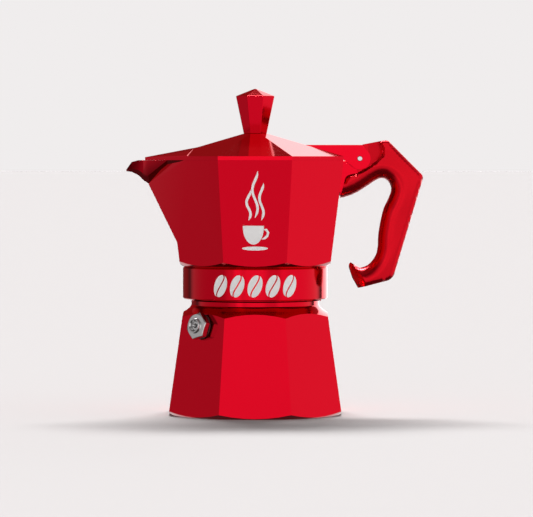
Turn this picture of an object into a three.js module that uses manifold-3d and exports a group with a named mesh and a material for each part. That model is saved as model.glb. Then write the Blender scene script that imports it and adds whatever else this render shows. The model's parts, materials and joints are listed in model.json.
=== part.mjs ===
// Three-cup moka pot: octagonal boiler, screwed-on upper chamber with a beak, hinged lid,
// bent handle, safety valve, coffee funnel, gasket and filter plate.
// Millimetres, +Z up. The pot's axis is Z, the floor is z = 0, the handle points to +X,
// the beak to -X and the front face to -Y.

import Module from 'manifold-3d';
import * as THREE from 'three';
import { ConvexGeometry } from 'three/addons/geometries/ConvexGeometry.js';
import { mergeVertices } from 'three/addons/utils/BufferGeometryUtils.js';

const wasm = await Module();
wasm.setup();

// ---------------------------------------------------------------- driving dimensions

const GAP = 0.3; // between faces that rest on each other
const RUNNING_GAP = 0.08; // radial, between a pin and its hole

// Boiler
const BOILER_BASE_FLATS = 87.4;
const BOILER_SHOULDER_FLATS = 72.8;
const BOILER_HEIGHT = 51.9; // to the shoulder, at the middle of a facet
const BOILER_WALL = 3.0;
const BOILER_FLOOR = 3.2;
const FOOT_INSET = 0.7; // the flat underside's radius, inside the facets
const SHOULDER_COVE = 3.6; // rise from the shoulder to the neck
const TURNED_SLOPE = 0.6; // slope of the cones turned on the octagons' ends

// Neck, thread and collar
const NECK_RADIUS = 32.4;
const NECK_WALL = 4.9;
const COLLAR_LIFT = 6.7; // shoulder to the collar's lower edge
const COLLAR_WALL = 3.85; // outside the thread
const COLLAR_HEIGHT = 16.0;
const COLLAR_OVERLAP = 8.4; // how far the neck stands inside the collar
const THREAD_PITCH = 3.2;
const THREAD_DEPTH = 1.2;
const THREAD_TURNS = 1.7;
const THREAD_GAP = 0.45;

// Funnel, gasket and filter plate
const FUNNEL_RIM = 0.8;
const FUNNEL_WALL = 0.8;
const FUNNEL_OVERHANG = 2.9; // the rim's rest on the neck
const FUNNEL_DEPTH = 18.0;
const FUNNEL_SIDE_GAP = 1.0;
const FUNNEL_CONE = 6.0;
const STEM_RADIUS = 5.0;
const STEM_WALL = 0.9;
const STEM_FOOT_GAP = 4.0; // from the boiler's floor
const GASKET_THICKNESS = 3.0;
const GASKET_OVERHANG = 1.0; // over the mouth of the neck
const FILTER_RADIUS = 28.0;
const FILTER_THICKNESS = 0.8;
const HOLE_RINGS = 3;
const HOLE_RADIUS = 0.8;

// Upper chamber
const CHAMBER_HEIGHT = 54.1; // collar's top to the rim
const CHAMBER_FOOT_FLATS = 75.4;
const CHAMBER_RIM_FLATS = 88.8;
const CHAMBER_WALL = 2.6;
const CHAMBER_FLOOR = 4.4;
const FLOOR_RISE = 2.6; // of the floor towards the column
const COLUMN_BOSS = 4.6; // the column's boss above the floor
const GROOVE_DEPTH = 0.8;
const COLUMN_RADIUS = 5.0;
const COLUMN_TOP_RADIUS = 4.0;
const COLUMN_BORE = 2.9;
const COLUMN_HEIGHT = 38.0;

// Beak
const BEAK_FOOT = (12.8 / 54.1) * CHAMBER_HEIGHT; // height of the foot above the collar
const BEAK_KEEL_OUT = 14.8; // how far the keel leans out ...
const BEAK_KEEL_RISE = (29 / 54.1) * CHAMBER_HEIGHT; // ... over this rise
const BEAK_SHOULDER_IN = 10.4; // from the left facet to where the beak meets the rim
const LIP_REACH = 11.3; // from the keel's top to the tip
const LIP_RISE = 6.7; // from the keel's top to the tip
const LIP_HALF = 2.4; // half width at the tip
const LIP_WALL = 1.2;

// Lid and knob
const LID_RIM = 1.7;
const LID_SLOPE = 0.297;
const LID_THICKNESS = 2.2;
const LID_SKIRT = 2.4;
const LID_BOSS = 4.2; // depth of the screw's boss
const TONGUE_SHARE = 0.64; // of the roof's slope, and of its reach to the ridge's start
const KNOB_FOOT_FLATS = 11.4;
const KNOB_TOP_FLATS = 19.5;
const KNOB_HEIGHT = 19.0;
const KNOB_PEAK = 3.6;
const SCREW_RADIUS = 1.9;
const SCREW_LENGTH = 14.0;
const INSERT_RADIUS = 3.4;
const WASHER_RADIUS = 4.6;
const WASHER_THICKNESS = 0.8;

// Hinge, in Y from the middle outwards: bracket lug, handle cheeks, lid ears
const HINGE_OUT = 8.4; // from the rim's flat to the pin
const HINGE_RISE = 0.5; // from the rim to the pin
const PIN_RADIUS = 1.25;
const LUG_HALF = 3.0;
const LUG_RADIUS = 4.2;
const CHEEK = 3.0;
const EAR = 2.8;
const EAR_RADIUS = 5.4;
const ARM_RISE = 6.9; // the lid arm's top above the pin
const ARM_SLOT = 10.5; // from the pin to the arm's slot end
const SEAT_RADIUS = 7.0;
const BRACKET_HALF = 6.0;
const HANDLE_HALF = 9.0;
const HANDLE_BEVEL = 1.6;

// Safety valve
const VALVE_HEIGHT = 45.4;
const VALVE_FLATS = 12.0;
const VALVE_SHANK = 3.5;
const VALVE_BORE = 2.2;
const VALVE_HEAD = 3.4;
const VALVE_STEM = 0.8;

// ---------------------------------------------------------------- derived levels

const COLLAR_RADIUS = NECK_RADIUS + THREAD_GAP + COLLAR_WALL;
const COLLAR_FOOT_Z = BOILER_HEIGHT + COLLAR_LIFT;
const COLLAR_TOP_Z = COLLAR_FOOT_Z + COLLAR_HEIGHT;
const NECK_FOOT_Z = BOILER_HEIGHT + SHOULDER_COVE;
const MOUTH_Z = COLLAR_FOOT_Z + COLLAR_OVERLAP;
const NECK_BORE = NECK_RADIUS - NECK_WALL;
const GASKET_INNER_RADIUS = NECK_BORE - GASKET_OVERHANG;
const THREAD_ROOT = NECK_RADIUS - THREAD_DEPTH;
const COLLAR_BORE = NECK_RADIUS + THREAD_GAP;
const FUNNEL_TOP_Z = MOUTH_Z + GAP + FUNNEL_RIM;
const GASKET_TOP_Z = FUNNEL_TOP_Z + GAP + GASKET_THICKNESS;
const SEAT_Z = GASKET_TOP_Z + GAP;
const PLATE_TOP_Z = SEAT_Z + FILTER_THICKNESS;
const LEDGE_Z = PLATE_TOP_Z + GAP;
const RIM_Z = COLLAR_TOP_Z + CHAMBER_HEIGHT;
const FLOOR_Z = COLLAR_TOP_Z + CHAMBER_FLOOR;
const LID_Z = RIM_Z + GAP;
const LID_EDGE_Z = LID_Z + LID_RIM;
const LID_TOP_Z = LID_EDGE_Z + LID_SLOPE * (CHAMBER_RIM_FLATS - KNOB_FOOT_FLATS) / 2;
const PIN_X = CHAMBER_RIM_FLATS / 2 + HINGE_OUT;
const PIN_Z = RIM_Z + GAP + HINGE_RISE;
const CHEEK_HALF = LUG_HALF + GAP + CHEEK;
const EAR_HALF = CHEEK_HALF + GAP + EAR;
const REACH = BOILER_BASE_FLATS + CHAMBER_RIM_FLATS; // larger than any piece

// ---------------------------------------------------------------- materials

const RED = { color: 0xc80014, roughness: 0.18, metalness: 0.5 };
const HANDLE_RED = { color: 0xd00010, roughness: 0.25, metalness: 0.0 };
const ALUMINIUM = { color: 0xb9bcc0, roughness: 0.4, metalness: 1.0 };
const STEEL = { color: 0xc8c9cc, roughness: 0.25, metalness: 1.0 };
const BRASS = { color: 0xc9a14a, roughness: 0.35, metalness: 1.0 };
const RUBBER = { color: 0xe6e2d8, roughness: 0.8, metalness: 0.0 };

// ---------------------------------------------------------------- solids

function signedVolume(position, index) {
  const [a, b, c] = [new THREE.Vector3(), new THREE.Vector3(), new THREE.Vector3()];
  let volume = 0;
  for (let i = 0; i < index.length; i += 3) {
    a.fromBufferAttribute(position, index[i]);
    b.fromBufferAttribute(position, index[i + 1]);
    c.fromBufferAttribute(position, index[i + 2]);
    volume += a.dot(b.cross(c)) / 6;
  }
  return volume;
}

// A closed geometry as a solid: shared corners merged, slivers at the axis dropped, faces out.
function solidOf(geometry) {
  const bare = geometry.clone();
  bare.deleteAttribute('normal');
  bare.deleteAttribute('uv');
  const merged = mergeVertices(bare, 1e-4);
  const { position } = merged.attributes;
  const whole = [];
  for (let i = 0; i < merged.index.count; i += 3) {
    const [a, b, c] = [0, 1, 2].map((k) => merged.index.getX(i + k));
    if (a !== b && b !== c && c !== a) whole.push(a, b, c);
  }
  if (signedVolume(position, whole) < 0) whole.reverse();
  return new wasm.Manifold(new wasm.Mesh({
    numProp: 3,
    vertProperties: new Float32Array(position.array),
    triVerts: new Uint32Array(whole),
  }));
}

function joined(first, ...others) {
  return others.reduce((solid, other) => solid.add(other), first);
}

function cut(first, ...tools) {
  return tools.reduce((solid, tool) => solid.subtract(tool), first);
}

// A turned solid about Z, from [radius, z] points that start and end on the axis or close.
function turned(points, segments = 48) {
  const profile = points.map(([r, z]) => new THREE.Vector2(r, z));
  return solidOf(new THREE.LatheGeometry(profile, segments).rotateX(Math.PI / 2));
}

function rod(radius, z0, z1, segments = 24) {
  return turned([[0, z0], [radius, z0], [radius, z1], [0, z1]], segments);
}

function ring(inner, outer, z0, z1, segments = 48) {
  return turned([[inner, z0], [outer, z0], [outer, z1], [inner, z1], [inner, z0]], segments);
}

// An eight-sided frustum with flats facing X and Y; sizes are across the flats.
function octagon(flats0, flats1, z0, z1) {
  const corner = 1 / (2 * Math.cos(Math.PI / 8));
  const height = z1 - z0;
  const geometry = new THREE.CylinderGeometry(
    flats1 * corner, flats0 * corner, height, 8, 1, false, Math.PI / 8,
  );
  geometry.rotateX(Math.PI / 2);
  geometry.translate(0, 0, z0 + height / 2);
  return solidOf(geometry);
}

function hexagon(flats, z0, z1) {
  const radius = flats / (2 * Math.cos(Math.PI / 6));
  const geometry = new THREE.CylinderGeometry(radius, radius, z1 - z0, 6);
  geometry.rotateX(Math.PI / 2);
  geometry.translate(0, 0, (z0 + z1) / 2);
  return solidOf(geometry);
}

function block(x0, x1, y0, y1, z0, z1) {
  const geometry = new THREE.BoxGeometry(x1 - x0, y1 - y0, z1 - z0);
  geometry.translate((x0 + x1) / 2, (y0 + y1) / 2, (z0 + z1) / 2);
  return solidOf(geometry);
}

function hull(points) {
  return solidOf(new ConvexGeometry(points.map((p) => new THREE.Vector3(...p))));
}

// Everything on the far side of the plane through point, where normal points.
function beyond(point, normal, inset = 0) {
  const direction = normal.clone().normalize();
  const geometry = new THREE.BoxGeometry(2 * REACH, 2 * REACH, REACH);
  geometry.translate(0, 0, REACH / 2 - inset);
  const turn = new THREE.Quaternion().setFromUnitVectors(new THREE.Vector3(0, 0, 1), direction);
  geometry.applyQuaternion(turn);
  geometry.translate(point.x, point.y, point.z);
  return solidOf(geometry);
}

function outline(points) {
  return new THREE.Shape(points.map(([x, z]) => new THREE.Vector2(x, z)));
}

// A plate between -half and +half in Y, from its XZ outline, with bevelled edges.
function plate(shape, half, bevel = 0) {
  const geometry = new THREE.ExtrudeGeometry(shape, {
    depth: 2 * (half - bevel),
    bevelEnabled: bevel > 0,
    bevelThickness: bevel,
    bevelSize: bevel,
    bevelOffset: -bevel,
    bevelSegments: 2,
    curveSegments: 6,
  });
  geometry.translate(0, 0, bevel - half);
  geometry.rotateX(Math.PI / 2);
  return solidOf(geometry);
}

// A rod along Y through the hinge axis.
function hingeRod(radius, y0, y1, segments = 32) {
  const geometry = new THREE.CylinderGeometry(radius, radius, y1 - y0, segments);
  geometry.translate(PIN_X, (y0 + y1) / 2, PIN_Z);
  return solidOf(geometry);
}

function bothSides(make) {
  return joined(make(-1), make(1));
}

// A helical ridge of trapezoid section on a wall of the given radius. Positive depth stands
// outwards. A straight bar is bent round the axis, and it fades in and out at its ends.
function threadRidge(radius, depth, turns, z0, phase) {
  const root = -Math.sign(depth) * 0.5;
  const section = outline([[root, -0.85], [root, 0.85], [depth, 0.3], [depth, -0.3]]);
  const geometry = new THREE.ExtrudeGeometry(section, {
    depth: 1,
    steps: Math.round(turns * 40),
    bevelEnabled: false,
  });
  const { position } = geometry.attributes;
  for (let i = 0; i < position.count; i += 1) {
    const along = position.getZ(i) * turns;
    const fade = Math.min(1, 0.02 + 8 * along, 0.02 + 8 * (turns - along));
    const offset = position.getX(i);
    const r = radius + (Math.sign(offset) === Math.sign(depth) ? offset * fade : offset);
    const angle = 2 * Math.PI * along + phase;
    const z = z0 + THREAD_PITCH * (along + phase / (2 * Math.PI)) + position.getY(i);
    position.setXYZ(i, r * Math.cos(angle), r * Math.sin(angle), z);
  }
  return solidOf(geometry);
}

// Rings of small holes for the strainer and the filter plate.
function sieveHoles(outerRadius, z0, z1) {
  const holes = [rod(HOLE_RADIUS, z0, z1, 8)];
  for (let k = 1; k <= HOLE_RINGS; k += 1) {
    const radius = outerRadius * k / HOLE_RINGS;
    const count = 6 * k;
    for (let i = 0; i < count; i += 1) {
      const angle = 2 * Math.PI * i / count;
      holes.push(rod(HOLE_RADIUS, z0, z1, 8)
        .translate([radius * Math.cos(angle), radius * Math.sin(angle), 0]));
    }
  }
  return joined(...holes);
}

// ---------------------------------------------------------------- boiler

function boilerApothem(z) {
  const taper = (BOILER_BASE_FLATS - BOILER_SHOULDER_FLATS) / 2 / BOILER_HEIGHT;
  return BOILER_BASE_FLATS / 2 - taper * z;
}

function boiler() {
  const foot = BOILER_BASE_FLATS / 2 - FOOT_INSET;
  const shoulder = BOILER_SHOULDER_FLATS / 2;
  const wide = BOILER_BASE_FLATS;
  const top = NECK_FOOT_Z + SHOULDER_COVE;
  const facets = octagon(BOILER_BASE_FLATS, 2 * boilerApothem(top), 0, top);
  const envelope = turned([
    [0, 0],
    [foot, 0],
    [wide, (wide - foot) * TURNED_SLOPE],
    [wide, BOILER_HEIGHT - 1],
    [shoulder + 8, BOILER_HEIGHT - 8 * TURNED_SLOPE],
    [shoulder, BOILER_HEIGHT],
    [NECK_RADIUS + 0.6 * (shoulder - NECK_RADIUS), BOILER_HEIGHT + 0.28 * SHOULDER_COVE],
    [NECK_RADIUS + 0.27 * (shoulder - NECK_RADIUS), BOILER_HEIGHT + 0.56 * SHOULDER_COVE],
    [NECK_RADIUS + 0.07 * (shoulder - NECK_RADIUS), BOILER_HEIGHT + 0.83 * SHOULDER_COVE],
    [NECK_RADIUS, NECK_FOOT_Z],
    [0, NECK_FOOT_Z],
  ]);
  const neck = turned([
    [0, BOILER_HEIGHT - 2],
    [NECK_RADIUS, BOILER_HEIGHT - 2],
    [NECK_RADIUS, COLLAR_FOOT_Z - 1],
    [THREAD_ROOT, COLLAR_FOOT_Z - 0.4],
    [THREAD_ROOT, MOUTH_Z - 0.6],
    [THREAD_ROOT - 0.6, MOUTH_Z],
    [0, MOUTH_Z],
  ]);
  const threadZ = MOUTH_Z - 1.6 - THREAD_TURNS * THREAD_PITCH;
  const thread = threadRidge(THREAD_ROOT, THREAD_DEPTH, THREAD_TURNS, threadZ, 0);
  const hollowTop = BOILER_HEIGHT - 3;
  const hollow = octagon(
    BOILER_BASE_FLATS - 2 * BOILER_WALL,
    2 * (boilerApothem(hollowTop) - BOILER_WALL),
    BOILER_FLOOR,
    hollowTop,
  ).intersect(turned([
    [0, BOILER_FLOOR],
    [wide, BOILER_FLOOR],
    [wide, BOILER_FLOOR + 10],
    [NECK_BORE + 12, BOILER_HEIGHT - 7.4],
    [NECK_BORE, BOILER_HEIGHT + 1.6],
    [0, BOILER_HEIGHT + 1.6],
  ]));
  const throat = turned([
    [0, BOILER_HEIGHT - 12],
    [NECK_BORE, BOILER_HEIGHT - 12],
    [NECK_BORE, MOUTH_Z + 1],
    [0, MOUTH_Z + 1],
  ]);
  const valveHole = placedOnValveAxis(rod(VALVE_SHANK + GAP, -3 * BOILER_WALL, 3 * BOILER_WALL, 32));
  return cut(joined(facets.intersect(envelope), neck, thread), hollow, throat, valveHole);
}

// ---------------------------------------------------------------- safety valve

// The valve's own frame: its Z axis stands square on the boiler's left-front facet.
const valveTilt = Math.atan2((BOILER_BASE_FLATS - BOILER_SHOULDER_FLATS) / 2, BOILER_HEIGHT);
const valveAxis = new THREE.Vector3(
  -Math.SQRT1_2 * Math.cos(valveTilt),
  -Math.SQRT1_2 * Math.cos(valveTilt),
  Math.sin(valveTilt),
);
const valveSeat = new THREE.Vector3(
  -Math.SQRT1_2 * boilerApothem(VALVE_HEIGHT),
  -Math.SQRT1_2 * boilerApothem(VALVE_HEIGHT),
  VALVE_HEIGHT,
);
const valveFrame = new THREE.Group();
valveFrame.position.copy(valveSeat);
valveFrame.quaternion.setFromUnitVectors(new THREE.Vector3(0, 0, 1), valveAxis);
valveFrame.updateMatrix();

function placedOnValveAxis(solid) {
  return solid.transform(valveFrame.matrix.toArray());
}

const VALVE_WASHER_TOP = GAP + 0.8;
const VALVE_FLANGE = VALVE_WASHER_TOP + GAP;
const VALVE_FRONT = VALVE_FLANGE + VALVE_HEAD;
const VALVE_SEAT = -BOILER_WALL - 0.2;
const VALVE_SEAL_TOP = VALVE_SEAT + GAP + 0.6;
const PISTON_HEAD_TOP = VALVE_SEAL_TOP + GAP + 0.8;
const RETAINER_FOOT = VALVE_FRONT - 0.7;

function valveWasher() {
  return ring(VALVE_SHANK + GAP, VALVE_FLATS / 2 + 0.4, GAP, VALVE_WASHER_TOP, 32);
}

function valveBody() {
  const halfFlats = VALVE_FLATS / 2;
  const head = hexagon(VALVE_FLATS, VALVE_FLANGE, VALVE_FRONT + 2).intersect(turned([
    [0, VALVE_FLANGE],
    [halfFlats + 1.2, VALVE_FLANGE],
    [halfFlats + 1.2, VALVE_FRONT - 0.7],
    [halfFlats - 0.4, VALVE_FRONT],
    [halfFlats - 2.2, VALVE_FRONT + 0.2],
    [halfFlats - 2.3, VALVE_FRONT + 1.6],
    [0, VALVE_FRONT + 1.6],
  ], 48));
  const shank = rod(VALVE_SHANK, VALVE_SEAT - 2.4, VALVE_FLANGE + 0.5, 32);
  const bore = turned([
    [0, VALVE_SEAT - 4],
    [1, VALVE_SEAT - 4],
    [1, VALVE_SEAT],
    [VALVE_BORE, VALVE_SEAT],
    [VALVE_BORE, VALVE_FRONT + 0.3],
    [halfFlats - 2.9, VALVE_FRONT + 1.7],
    [0, VALVE_FRONT + 1.7],
  ], 32);
  return cut(joined(head, shank), bore);
}

function valveSeal() {
  return rod(VALVE_BORE - GAP, VALVE_SEAT + GAP, VALVE_SEAL_TOP, 32);
}

function valvePiston() {
  const headFoot = VALVE_SEAL_TOP + GAP;
  return turned([
    [0, headFoot],
    [VALVE_BORE - GAP, headFoot],
    [VALVE_BORE - GAP, PISTON_HEAD_TOP],
    [VALVE_STEM, PISTON_HEAD_TOP],
    [VALVE_STEM, VALVE_FRONT + 1.6],
    [VALVE_STEM - 0.3, VALVE_FRONT + 1.9],
    [0, VALVE_FRONT + 1.9],
  ], 24);
}

class Helix extends THREE.Curve {
  constructor(radius, turns, z0, z1) {
    super();
    Object.assign(this, { radius, turns, z0, z1 });
  }

  getPoint(t, target = new THREE.Vector3()) {
    const angle = 2 * Math.PI * this.turns * t;
    const z = this.z0 + (this.z1 - this.z0) * t;
    return target.set(this.radius * Math.cos(angle), this.radius * Math.sin(angle), z);
  }
}

function valveSpring() {
  const wire = 0.22;
  const turns = 5;
  const path = new Helix(1.5, turns, PISTON_HEAD_TOP + GAP + wire, RETAINER_FOOT - GAP - wire);
  const section = new THREE.Shape();
  section.absarc(0, 0, wire, 0, 2 * Math.PI);
  return solidOf(new THREE.ExtrudeGeometry(section, {
    extrudePath: path,
    steps: turns * 14,
    curveSegments: 3,
    bevelEnabled: false,
  }));
}

function valveRetainer() {
  return ring(VALVE_STEM + 0.35, VALVE_BORE - 0.05, RETAINER_FOOT, VALVE_FRONT + 0.2, 32);
}

// ---------------------------------------------------------------- funnel

const FUNNEL_RADIUS = NECK_BORE - FUNNEL_SIDE_GAP;
const STRAINER_Z = FUNNEL_TOP_Z - FUNNEL_DEPTH;
const SOCKET_Z = STRAINER_Z - FUNNEL_CONE;
const SOCKET_LENGTH = 4;

function funnelCup() {
  const rimRadius = NECK_BORE + FUNNEL_OVERHANG;
  const inner = FUNNEL_RADIUS - FUNNEL_WALL;
  const socket = STEM_RADIUS + 0.1;
  return turned([
    [rimRadius, FUNNEL_TOP_Z],
    [inner, FUNNEL_TOP_Z],
    [inner, STRAINER_Z],
    [inner - 1.4, STRAINER_Z],
    [socket, SOCKET_Z + 1],
    [socket, SOCKET_Z - SOCKET_LENGTH],
    [socket + FUNNEL_WALL, SOCKET_Z - SOCKET_LENGTH],
    [socket + FUNNEL_WALL, SOCKET_Z],
    [FUNNEL_RADIUS, STRAINER_Z - 1],
    [FUNNEL_RADIUS, FUNNEL_TOP_Z - FUNNEL_RIM],
    [rimRadius, FUNNEL_TOP_Z - FUNNEL_RIM],
    [rimRadius, FUNNEL_TOP_Z],
  ]);
}

function funnelStrainer() {
  const top = STRAINER_Z + GAP + FUNNEL_WALL;
  const disc = rod(FUNNEL_RADIUS - FUNNEL_WALL - 0.1, STRAINER_Z + GAP, top, 48);
  return cut(disc, sieveHoles(0.8 * FUNNEL_RADIUS, STRAINER_Z, top + 1));
}

function funnelStem() {
  const foot = BOILER_FLOOR + STEM_FOOT_GAP;
  return ring(STEM_RADIUS - STEM_WALL, STEM_RADIUS, foot, SOCKET_Z, 32);
}

// ---------------------------------------------------------------- seal

function gasket() {
  const foot = FUNNEL_TOP_Z + GAP;
  const outer = COLLAR_BORE - 0.35;
  return ring(GASKET_INNER_RADIUS, outer, foot, GASKET_TOP_Z);
}

function filterPlate() {
  const disc = rod(FILTER_RADIUS, SEAT_Z, PLATE_TOP_Z, 48);
  return cut(disc, sieveHoles(0.8 * FILTER_RADIUS, SEAT_Z - 1, PLATE_TOP_Z + 1));
}

// ---------------------------------------------------------------- upper chamber

function chamberApothem(z) {
  const t = (z - COLLAR_TOP_Z) / (RIM_Z - COLLAR_TOP_Z);
  return THREE.MathUtils.lerp(CHAMBER_FOOT_FLATS, CHAMBER_RIM_FLATS, t) / 2;
}

// The beak's planes. The side planes start at the octagon's two left corners at the beak's
// foot and meet the left-front and left-back facets again at the rim.
const beak = (() => {
  const footZ = COLLAR_TOP_Z + BEAK_FOOT;
  const footX = -chamberApothem(footZ);
  const half = -footX * Math.tan(Math.PI / 8);
  const rimX = -chamberApothem(RIM_Z) + BEAK_SHOULDER_IN;
  const rimY = Math.SQRT2 * chamberApothem(RIM_Z) + rimX;
  const keelX = footX - BEAK_KEEL_OUT;
  const keelZ = footZ + BEAK_KEEL_RISE;
  const foot = (side) => new THREE.Vector3(footX, side * half, footZ);
  const rim = (side) => new THREE.Vector3(rimX, side * rimY, RIM_Z);
  const keel = new THREE.Vector3(keelX, 0, keelZ);
  const sideNormal = (side) => {
    const normal = rim(side).sub(foot(side)).cross(keel.clone().sub(foot(side)));
    return normal.y * side > 0 ? normal : normal.negate();
  };
  const chinNormal = new THREE.Vector3(-BEAK_KEEL_RISE, 0, -BEAK_KEEL_OUT);
  const backNormal = new THREE.Vector3(RIM_Z - footZ, 0, footX - rimX);
  return { foot, rim, keel, sideNormal, chinNormal, backNormal };
})();

// The beak's wedge between its side planes, its chin and, at the back, the octagon.
function beakWedge(inset, topZ) {
  const wide = CHAMBER_RIM_FLATS;
  const start = block(-wide, 0, -wide, wide, beak.foot(1).z - 2, topZ);
  return cut(
    start,
    beyond(beak.foot(-1), beak.sideNormal(-1), inset),
    beyond(beak.foot(1), beak.sideNormal(1), inset),
    beyond(beak.foot(1), beak.chinNormal, inset),
    beyond(beak.foot(1), beak.backNormal, 0),
  );
}

// The lip that flares out of the wedge, as cross-sections from the body to the tip. Each
// station holds its place along the beak and the keel's height there.
function beakLip(inset) {
  const { x: keelX, z: keelZ } = beak.keel;
  const tipX = keelX - LIP_REACH;
  const rimX = beak.rim(1).x;
  const rimY = beak.rim(1).y;
  const tipZ = keelZ + LIP_RISE;
  const flatEnd = tipX + 0.6 * LIP_REACH;
  const stations = [
    { x: rimX - 2, keel: RIM_Z - 3 },
    { x: (rimX + keelX) / 2, keel: keelZ + 7 },
    { x: keelX, keel: keelZ + 0.4 },
    { x: keelX - 0.22 * LIP_REACH, keel: keelZ + 0.3 * LIP_RISE },
    { x: keelX - 0.45 * LIP_REACH, keel: keelZ + 0.68 * LIP_RISE },
    { x: keelX - 0.75 * LIP_REACH, keel: keelZ + 0.94 * LIP_RISE },
    { x: tipX, keel: tipZ },
  ];
  const end = stations.length - 1;
  const halves = stations.map(({ x }) => THREE.MathUtils.mapLinear(x, rimX, tipX, rimY, LIP_HALF));
  const tops = stations.map(({ x }) => {
    const over = Math.max(0, (flatEnd - x) / (flatEnd - tipX));
    return THREE.MathUtils.lerp(RIM_Z, tipZ + 0.8, 1 - Math.sqrt(1 - over * over));
  });
  const lift = inset > 0 ? 6 : 0;
  const rings = stations.map(({ x, keel }, i) => {
    const half = Math.max(0.25, halves[i] * (i > 2 ? 0.86 : 1) - 1.15 * inset);
    const low = keel + inset * (i === end ? 0.3 : 1);
    const high = Math.max(tops[i], low + 0.4) + lift;
    const reach = x - (i === end ? inset * 3 : 0);
    return [
      [reach, 0, low],
      [reach, half * 0.55, low + 0.35 * (high - lift - low)],
      [reach, half, high],
      [reach, -half, high],
      [reach, -half * 0.55, low + 0.35 * (high - lift - low)],
    ];
  });
  return loft(rings);
}

// A closed skin over rings of equal point counts, each end closed by a fan.
function loft(rings) {
  const count = rings[0].length;
  const corners = [];
  const face = (a, b, c) => corners.push(...a, ...b, ...c);
  for (let i = 0; i + 1 < rings.length; i += 1) {
    for (let j = 0; j < count; j += 1) {
      const k = (j + 1) % count;
      face(rings[i][j], rings[i + 1][j], rings[i + 1][k]);
      face(rings[i][j], rings[i + 1][k], rings[i][k]);
    }
  }
  const last = rings[rings.length - 1];
  for (let j = 1; j + 1 < count; j += 1) {
    face(rings[0][0], rings[0][j], rings[0][j + 1]);
    face(last[0], last[j + 1], last[j]);
  }
  const geometry = new THREE.BufferGeometry();
  geometry.setAttribute('position', new THREE.Float32BufferAttribute(corners, 3));
  return solidOf(geometry);
}

function chamberShell() {
  const wide = CHAMBER_RIM_FLATS;
  const foot = CHAMBER_FOOT_FLATS / 2;
  const groove = COLLAR_RADIUS - GROOVE_DEPTH;
  const facets = octagon(CHAMBER_FOOT_FLATS, CHAMBER_RIM_FLATS, COLLAR_TOP_Z, RIM_Z);
  const turning = turned([
    [0, COLLAR_TOP_Z],
    [groove, COLLAR_TOP_Z],
    [foot, COLLAR_TOP_Z + TURNED_SLOPE * (foot - groove)],
    [wide, COLLAR_TOP_Z + TURNED_SLOPE * (wide - groove)],
    [wide, RIM_Z],
    [0, RIM_Z],
  ]);
  const corners = cut(
    facets.intersect(turning),
    beyond(beak.foot(-1), beak.sideNormal(-1)),
    beyond(beak.foot(1), beak.sideNormal(1)),
  );
  return joined(corners, beakWedge(0, RIM_Z), beakLip(0));
}

function chamberHollow() {
  const top = RIM_Z + 8;
  const flats = (z) => 2 * (chamberApothem(z) - CHAMBER_WALL);
  const inner = octagon(flats(COLLAR_TOP_Z), flats(top), COLLAR_TOP_Z, top);
  const overFloor = turned([
    [0, FLOOR_Z + FLOOR_RISE],
    [COLUMN_RADIUS + 4, FLOOR_Z + FLOOR_RISE],
    [floorRadius(), FLOOR_Z],
    [CHAMBER_RIM_FLATS, FLOOR_Z],
    [CHAMBER_RIM_FLATS, top],
    [0, top],
  ]);
  const corners = cut(
    inner.intersect(overFloor),
    beyond(beak.foot(-1), beak.sideNormal(-1), CHAMBER_WALL),
    beyond(beak.foot(1), beak.sideNormal(1), CHAMBER_WALL),
  );
  const channel = beakWedge(CHAMBER_WALL, top);
  return joined(corners, channel, beakLip(LIP_WALL));
}

function floorRadius() {
  return chamberApothem(FLOOR_Z) - CHAMBER_WALL;
}

// The hinge bracket's outline: a block on the wall with a hollow seat round the hinge axis.
function bracket() {
  const wallX = chamberApothem(RIM_Z) - CHAMBER_WALL;
  const shape = outline([
    [wallX - 1, PIN_Z - 17.5],
    [wallX + 3, PIN_Z - 16.5],
    [PIN_X + 3.5, PIN_Z - 12],
    [PIN_X + 6, PIN_Z - 9.5],
    [PIN_X + 6, PIN_Z - 2.4],
    [PIN_X, PIN_Z - 2.4],
    [wallX - 1, PIN_Z - 2.4],
  ]);
  const cradle = cut(plate(shape, BRACKET_HALF), hingeRod(SEAT_RADIUS, -REACH, REACH, 48));
  const lugShape = outline([
    [PIN_X - 4, PIN_Z - 8.5],
    [PIN_X + 4, PIN_Z - 8.5],
    [PIN_X + 3.6, PIN_Z],
    [PIN_X - 3.6, PIN_Z],
  ]);
  const lug = joined(plate(lugShape, LUG_HALF), hingeRod(LUG_RADIUS, -LUG_HALF, LUG_HALF));
  const inside = octagon(
    CHAMBER_FOOT_FLATS - CHAMBER_WALL,
    CHAMBER_RIM_FLATS - CHAMBER_WALL,
    COLLAR_TOP_Z,
    RIM_Z,
  );
  return cut(joined(cradle, lug), inside, hingeRod(PIN_RADIUS + RUNNING_GAP, -REACH, REACH));
}

function collarRing() {
  return turned([
    [0, COLLAR_FOOT_Z],
    [COLLAR_RADIUS - 0.5, COLLAR_FOOT_Z],
    [COLLAR_RADIUS, COLLAR_FOOT_Z + 0.5],
    [COLLAR_RADIUS, COLLAR_TOP_Z - 0.5],
    [COLLAR_RADIUS - 0.5, COLLAR_TOP_Z],
    [COLLAR_RADIUS - GROOVE_DEPTH - 1, COLLAR_TOP_Z],
    [COLLAR_RADIUS - GROOVE_DEPTH - 1, COLLAR_TOP_Z + 1],
    [0, COLLAR_TOP_Z + 1],
  ]);
}

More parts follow.
